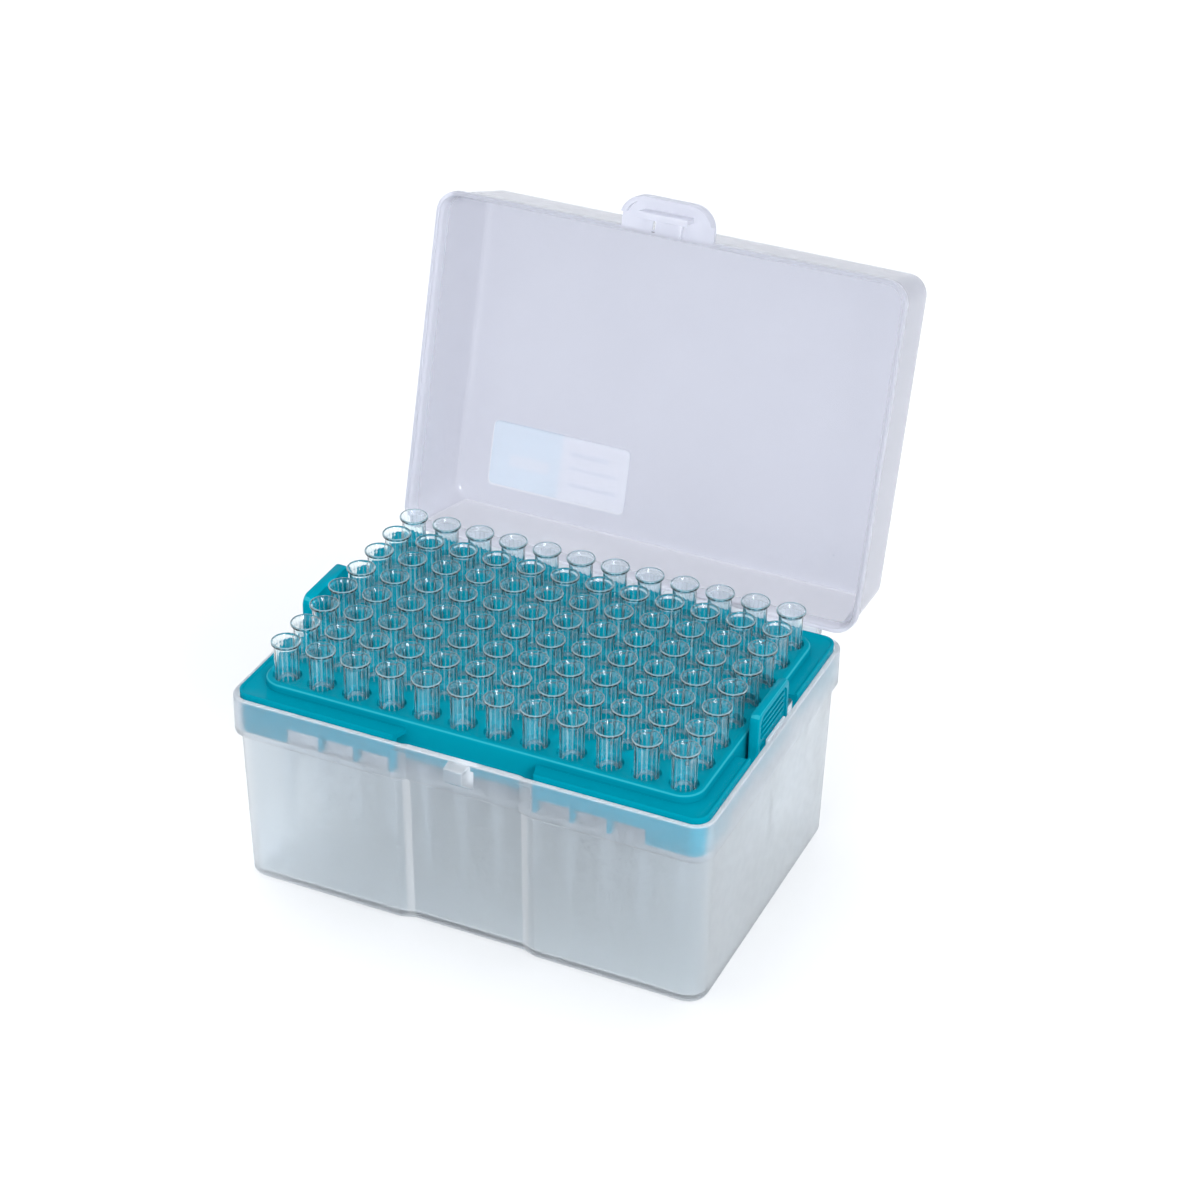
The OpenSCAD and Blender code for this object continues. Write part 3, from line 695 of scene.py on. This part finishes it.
def latch_parts():
    """The latch tab's pieces and what is cut from it, drawn closed."""
    plate = prism(tab_outline(0.0), LID_Z, LID_Z + TAB_T, soft=0.35)
    lip = prism(tab_outline(0.0), LID_Z - 2.2, LID_Z + 0.6, soft=0.3)
    lip_room = prism(tab_outline(BAR_T), LID_Z - 4, LID_Z)
    bar_y = -LID_HY - WINDOW_REACH
    root_room = block((-TAB_W - 1, bar_y, LID_Z - 5), (TAB_W + 1, -LID_HY + 2, LID_Z - 0.001))
    window = prism([
        (-WINDOW_W, bar_y), (WINDOW_W, bar_y),
        (WINDOW_W, -LID_HY - 0.2), (-WINDOW_W, -LID_HY - 0.2),
    ], LID_Z - 1, LID_Z + TAB_T + 1)
    bar = prism([
        (bar_y, LID_Z + TAB_T - 0.2), (bar_y, LID_Z - 3.4), (bar_y + 0.5, LID_Z - 3.9),
        (bar_y + 0.5, LID_Z - 4.2), (bar_y + 0.3, LID_Z - 4.4), (bar_y - BAR_T + 0.2, LID_Z - 4.4),
        (bar_y - BAR_T, LID_Z - 4.2), (bar_y - BAR_T, LID_Z + TAB_T - 0.2),
    ], -WINDOW_W, WINDOW_W, ALONG_X)
    guides = [block((x - 0.4, bar_y - 0.2, LID_Z - 1.5),
                    (x + 0.4, -LID_HY + 0.2, LID_Z + TAB_T - 0.15)) for x in (-3.6, 3.6)]
    return plate, lip, lip_room, root_room, window, bar, guides


def build_lid():
    """Shell, latch tab, knuckles and pin stubs in one piece, drawn closed and then opened."""
    plate, lip, lip_room, root_room, window, bar, guides = latch_parts()
    rim = shapes_fused("tab_lip", [lip], lid_mat, [lip_room, root_room])
    tab = shapes_fused("tab_plate", [plate], lid_mat, [window])
    parts = [lid_shell()]
    for obj in (rim, tab):
        bm = bmesh.new()
        bm.from_mesh(obj.data)
        bmesh.ops.scale(bm, vec=(1 / MM, 1 / MM, 1 / MM), verts=bm.verts)
        bpy.data.objects.remove(obj)
        parts.append(bm)
    parts += [bar, *guides]
    for i in range(1, KNUCKLES, 2):
        x = knuckle_x(i)
        parts.append(lid_knuckle(x))
        parts.append(hinge_rod(PIN_R, x, KNUCKLE_HALF + PIN_STUB))
    lid = shapes_fused("lid_body", [opened(bm) for bm in parts], lid_mat)
    closed = hinge_turn(OPEN_ANGLE)

    def finish(p, face):
        """0 wall, 1 rim and latch tab, 2 rear wall, paler as painted light where it faces up to the
        lamps.
        """
        top = max((closed @ (lid.data.vertices[i].co / MM)).z for i in face.vertices)
        y, facing = (closed @ p).y, (closed.to_3x3() @ face.normal).y
        if top < LID_Z + 2 * LIP_H + 0.1 or y < -LID_HY + 0.05:
            return 1
        return 2 if y > LID_HY - 5.0 and abs(facing) > 0.95 else 0

    return finishes(lid, (lid_rim_mat, lid_back_painted_light_mat), finish)


# ---- Tray ----

def tray_panel():
    """The raised panel as one loft: out from under its top, round its foot and up to its top."""
    rings = []

    def level(z, inset):
        rings.append(rounded_ring(PANEL_HX - inset, PANEL_HY - inset, PANEL_R - inset, z))

    wall, under, foot = 1.2, TRAY_Z - 2.5, TRAY_FOOT
    for z, inset in ((under, wall + 0.3), (under - 0.3, wall), (foot + 0.2, wall),
                     (foot, wall - 0.2), (foot, 0.2), (foot + 0.2, 0.0)):
        level(z, inset)
    edge = 0.8
    for c, s in bend(0, 15, 30, 45, 60, 75, 90):
        level(TRAY_Z - edge + edge * s, edge * (1 - c))
    bm = bmesh.new()
    loft(bm, rings)
    return bm


def tip_place(column, row):
    """The middle of one tip and of its hole, in X and Y."""
    return (column - (COLUMNS - 1) / 2) * PITCH, (row - (ROWS - 1) / 2) * PITCH


def seat_cutters():
    """What the 96 stepped holes take out, with a softened mouth."""
    # (radius, height) up the bore, over the seat and up to the mouth
    profile = ((2.8, TRAY_Z - 4), (2.8, SEAT_Z), (3.35, SEAT_Z), (3.35, TRAY_Z - 0.15),
               (3.4, TRAY_Z - 0.04), (3.5, TRAY_Z), (3.5, TRAY_Z + 1))
    bm = bmesh.new()
    for column in range(COLUMNS):
        for row in range(ROWS):
            place = tip_place(column, row)
            loft(bm, [[(x, y, z) for x, y in circle(*place, r, 32)] for r, z in profile])
    return bm


GRIP_HALF = 9.3
# Half the width of the notch in the ledge's front, and of the bay for each grip
NOTCH, BAY = 17.6, GRIP_HALF + 5.0


def tray_ledge():
    """Ledge with its bead and the skirt below it, whole, before the notches are cut."""
    rings = []

    def level(z, inset):
        rings.append(rounded_ring(TRAY_HX - inset, TRAY_HY - inset, SKIRT_R - min(inset, 3.4), z))

    under, foot, wall = LEDGE_Z - 1.2, SKIRT_FOOT, SKIRT_WALL
    for z, inset in ((under, 4.6), (under, wall + 0.25), (under - 0.25, wall), (foot + 0.1, wall),
                     (foot, wall - 0.1), (foot, 0.15), (foot + 0.15, 0.0), (LEDGE_Z + 0.2, 0.0),
                     (LEDGE_Z + 0.34, 0.06), (LEDGE_Z + 0.4, 0.2), (LEDGE_Z + 0.4, 0.45),
                     (LEDGE_Z + 0.34, 0.6), (LEDGE_Z + 0.12, 0.72), (LEDGE_Z, 1.0),
                     (LEDGE_Z, 4.6)):
        level(z, inset)
    bm = bmesh.new()
    loft(bm, rings)
    return bm


def corner_skirt(sx, sy):
    """The full-height skirt round one corner, down to the base's shelf."""
    hx, hy, r, wall, run = TRAY_HX, TRAY_HY, SKIRT_R, SKIRT_WALL, 13.5
    outer = circle(hx - r, hy - r, r, CORNER_STEPS, 0, 90)
    inner = circle(hx - r, hy - r, r - wall, CORNER_STEPS, 0, 90)
    points = ([(hx, hy - run)] + outer + [(hx - run, hy), (hx - run, hy - wall)] + inner[::-1]
              + [(hx - wall, hy - run)])
    points = [(sx * x, sy * y) for x, y in points]
    if sx * sy < 0:
        points.reverse()
    return prism(points, SHELF_Z, LEDGE_Z - 0.5, soft=0.1)


def notch_cutters():
    """What is cut from the ledge: the notch at the front and a bay for each grip."""
    slope, reach, deep = RECESS_SLOPE / 2, TRAY_HY + 1, PANEL_HY - 0.6
    cuts = [prism([(-NOTCH, -reach), (NOTCH, -reach), (NOTCH, -TRAY_HY), (NOTCH - slope, -deep),
                   (-NOTCH + slope, -deep), (-NOTCH, -TRAY_HY)], 30, 60)]
    for side in (-1, 1):
        x0, x1 = sorted((side * (PANEL_HX - 0.6), side * (TRAY_HX + 1)))
        cuts.append(block((x0, -BAY, 30), (x1, BAY, 60)))
    return cuts


def grip(side):
    """An upright grip: rounded plate with a framed, ribbed panel on its outer face."""
    half, top, foot, r = GRIP_HALF, BASE_H + 9.2, TRAY_FOOT, 2.5
    outer, thick = TRAY_HX - 0.3, 2.4

    def outline(border):
        h, t = half - border, top - border
        return ([(-h, foot), (h, foot)] + circle(h - r, t - r, r, 8, 0, 90)
                + circle(-h + r, t - r, r, 8, 90, 180))

    def face_turn(bm):
        if side < 0:
            bmesh.ops.transform(bm, matrix=Matrix.Rotation(math.pi, 4, "Z"), verts=bm.verts)
        return bm

    plate = prism(outline(0.0), outer - thick, outer, ALONG_X, soft=0.35, soft_steps=3)
    panel = prism([(y, max(z, BASE_H - 1.0)) for y, z in outline(1.3)],
                  outer - 0.5, outer + 1, ALONG_X)
    slope = Matrix.Rotation(-math.atan(0.8 / thick), 4, "Y")
    top_cut = block((-thick, -20, 0), (3 * thick, 20, 9))
    bmesh.ops.transform(top_cut, matrix=Matrix.Translation((outer - thick, 0, top - 0.8)) @ slope,
                        verts=top_cut.verts)
    ribs, y = [], half - 2.6
    for i in range(4):
        z = top - 2.6 - i * 1.5
        ribs.append(prism([(-y, z - 0.6), (y, z - 0.6), (y, z), (-y, z)],
                          outer - 0.7, outer - 0.02, ALONG_X, soft=0.15))
    hanger = block((PANEL_HX - 0.6, -half, foot), (outer - thick + 0.6, half, foot + 1.2))
    shapes = [face_turn(bm) for bm in (plate, *ribs, hanger)]
    return shapes, [face_turn(bm) for bm in (panel, top_cut)]


def build_tray():
    """Panel, ledge, grips and webs, joined as one piece."""
    corners = [corner_skirt(sx, sy) for sx in (-1, 1) for sy in (-1, 1)]
    pieces = [
        shapes_fused("tray_panel", [tray_panel()], teal_mat, [seat_cutters()]),
        shapes_fused("tray_ledge", [tray_ledge(), *corners], teal_mat, notch_cutters()),
    ]
    for side in (-1, 1):
        (plate, *ribs, hanger), cuts = grip(side)
        pieces.append(shapes_fused(f"tray_grip_{side}", [plate, hanger], teal_mat, cuts))
        for k, rib in enumerate(ribs):
            pieces.append(new_object(f"tray_rib_{side}_{k}", rib, teal_mat))
    # Webs that stand on the base's shelf under the ledge's front and back
    for sy in (-1, 1):
        y0, y1 = sorted((sy * 38.6, sy * (TRAY_HY - 0.1)))
        for k in (-4, -3, -2, 2, 3, 4):
            x = k * PITCH
            web = block((x - 0.5, y0, SHELF_Z), (x + 0.5, y1, LEDGE_Z - 0.6), soft=0.1)
            pieces.append(new_object(f"tray_web_{sy}_{k}", web, teal_mat))
    tray = pieces[0]
    bpy.ops.object.select_all(action="DESELECT")
    for obj in pieces:
        obj.select_set(True)
    bpy.context.view_layer.objects.active = tray
    bpy.ops.object.join()
    tray.name = "tray_body"

    def finish(p, face):
        """0 all over, 1 a paler teal as painted highlight on the rounded edges outside the panel.
        """
        outer = abs(p.x) > PANEL_HX - 2.4 or abs(p.y) > PANEL_HY - 2.4
        return 1 if outer and 0.55 < face.normal.z < 0.82 else 0

    return finishes(tray, (teal_edge_highlight_mat,), finish)


# ---- Tips ----

TIP_STEPS = 64
# A rib is two steps wide of every four
RIB_STEPS, RIB_DEPTH = 4, 0.04
# (height from the mouth, radius, share of the rib depth), first down the tip, then up it
TIP_OUTSIDE = (
    (0.0, 3.3, 0), (-0.05, 3.42, 0), (-0.18, 3.49, 0), (-0.4, 3.5, 0), (-0.62, 3.47, 0),
    (-0.8, 3.36, 0), (-0.95, 3.16, 0), (-1.15, 3.0, 0.1), (-1.5, 2.86, 0.8), (-1.9, 2.85, 1),
    (-6.0, 2.85, 1), (-10.2, 2.85, 1), (-10.38, 2.83, 0.8), (-10.5, 2.78, 0.1), (-10.5, 2.6, 0),
    (-14.0, 2.45, 0), (-20.0, 2.2, 0), (-30.6, 1.716, 0), (-40.0, 1.13, 0), (-50.6, 0.47, 0),
    (-51.0, 0.4, 0),
)
TIP_INSIDE = (
    (-51.0, 0.27, 0), (-40.0, 0.74, 0), (-30.6, 1.316, 0), (-20.0, 1.8, 0), (-10.5, 2.2, 0),
    (-10.0, 2.24, 0), (-2.0, 2.44, 0), (-1.3, 2.5, 0), (-0.85, 2.72, 0), (-0.4, 2.98, 0),
    (-0.12, 3.1, 0), (-0.02, 3.2, 0),
)
RING_COUNT = len(TIP_OUTSIDE) + len(TIP_INSIDE)


def tip_rings(cx, cy, phase):
    """A tip's rings of points, down its outside and up its inside; phase turns the ribs."""
    rings = []
    for depth, radius, share in TIP_OUTSIDE + TIP_INSIDE:
        ring = []
        for k in range(TIP_STEPS):
            a = 2 * math.pi * k / TIP_STEPS + phase
            r = radius + (RIB_DEPTH * share if k % RIB_STEPS < 2 else 0.0)
            ring.append((cx + r * math.cos(a), cy + r * math.sin(a), TIP_TOP + depth))
        rings.append(ring)
    return rings


def build_tips(column):
    """One column of eight tips, each turned by chance."""
    bm = bmesh.new()
    chance = random.Random(100 + column)
    for row in range(ROWS):
        rings = tip_rings(*tip_place(column, row), chance.uniform(0, 2 * math.pi))
        rows = loft(bm, rings, capped=False)
        for i in range(TIP_STEPS):
            j = (i + 1) % TIP_STEPS
            bm.faces.new((rows[-1][i], rows[-1][j], rows[0][j], rows[0][i]))
    tips = new_object(f"tips_{column + 1:02d}", bm, tip_mat, smooth_angle=50.0)

    def finish(p, face):
        """0 collar wall, 1 mouth, a painted highlight on its rim, 2 ribs, less clear as painted
        highlight lines along their crests, 3 the body below the collar.
        """
        depth, corner = TIP_TOP - p.z, face.vertices[0]
        ring, step = corner // TIP_STEPS % RING_COUNT, corner % TIP_STEPS
        outside = ring < len(TIP_OUTSIDE)
        if depth < (0.25 if outside else 0.02):
            return 1
        if depth > COLLAR_H:
            return 3
        return 2 if outside and step % RIB_STEPS == 0 else 0

    return finishes(tips, (tip_lip_highlight_mat, tip_rib_highlight_mat, tip_body_mat), finish)


# ---- Label ----

def build_label():
    """The paper label, on the outside of the lid's top."""
    cx, cy = -LID_HX + LABEL_FROM_LEFT + LABEL_HX, LID_HY - LABEL_FROM_BACK - LABEL_HY
    bm = bmesh.new()
    rings = []
    for rise, inset in ((0.01, 0.0), (0.09, 0.0), (0.12, 0.04)):
        ring = rounded_ring(LABEL_HX - inset, LABEL_HY - inset, LABEL_R, LID_TOP + rise)
        rings.append([(cx + x, cy + y, z) for x, y, z in ring])
    loft(bm, rings)
    return new_object("label_sheet", opened(bm), label_mat)


# ---- Pieces ----

base = build_base()
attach(base, "box")
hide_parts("base")

lid = build_lid()
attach(lid, "lid")
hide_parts("lid")

label = build_label()
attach(label, "lid")
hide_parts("label")

tray = build_tray()
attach(tray, "box")
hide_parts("tray")

for column in range(COLUMNS):
    tips = build_tips(column)
    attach(tips, "box")
    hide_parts(f"tips_column_{column + 1:02d}")

# ---- Floor, light and camera ----

FLOOR_HALF = 3000.0
FLOOR_Z = -0.0002

floor_bm = bmesh.new()
bmesh.ops.create_grid(floor_bm, x_segments=1, y_segments=1, size=FLOOR_HALF)
floor_mat, nodes, links, shader = principled("floor", (0.96, 0.96, 0.96), Roughness=0.8)
place = nodes.new("ShaderNodeTexCoord").outputs["Object"]
shade = noise(nodes, links, place, 8.0)
links.new(tint(nodes, links, shade, (0.95, 0.95, 0.95), (0.97, 0.97, 0.97)),
          shader.inputs["Base Color"])
floor = new_object("floor", floor_bm, floor_mat)
floor.location.z = FLOOR_Z

scene = bpy.context.scene
world = bpy.data.worlds.new("studio")
scene.world = world
world.use_nodes = True
background = world.node_tree.nodes["Background"]
background.inputs["Color"].default_value = (0.93, 0.96, 1.0, 1.0)
background.inputs["Strength"].default_value = 0.97


def softbox(name, location, target, size, energy):
    """A white rectangular light, turned to its target."""
    light = bpy.data.lights.new(name, "AREA")
    light.shape = "RECTANGLE"
    light.size, light.size_y = size
    light.energy = energy
    obj = bpy.data.objects.new(name, light)
    obj.location = location
    direction = Vector(target) - Vector(location)
    obj.rotation_euler = direction.to_track_quat("-Z", "Y").to_euler()
    scene.collection.objects.link(obj)


softbox("key", (0.66, -0.68, 0.5), (0, 0, 0.05), (0.25, 0.25), 4.5)
softbox("top", (-0.3, 0.2, 1.3), (0, 0, 0), (1.2, 1.2), 3.5)

# The camera's place, its three axes and its focal length
CAMERA_PLACE = (0.2484, -0.5272, 0.4306)
RIGHT = Vector((0.90988, 0.41456, 0.01642))
UP = Vector((-0.23080, 0.47287, 0.85037))
BACK = Vector((0.34476, -0.77752, 0.52594))
FOCAL_LENGTH = 89.67

camera_data = bpy.data.cameras.new("camera")
camera_data.sensor_width = 36.0
camera_data.lens = FOCAL_LENGTH
camera_data.clip_start = 0.01
camera_data.clip_end = 20.0
camera = bpy.data.objects.new("camera", camera_data)
turn = Matrix((RIGHT, UP, BACK)).transposed().to_4x4()
camera.matrix_world = Matrix.Translation(CAMERA_PLACE) @ turn
scene.collection.objects.link(camera)
scene.camera = camera

scene.view_settings.view_transform = "Standard"
scene.view_settings.look = "None"
scene.cycles.max_bounces = 12
scene.cycles.transmission_bounces = 12
scene.cycles.transparent_max_bounces = 24
scene.cycles.glossy_bounces = 6
scene.cycles.diffuse_bounces = 3
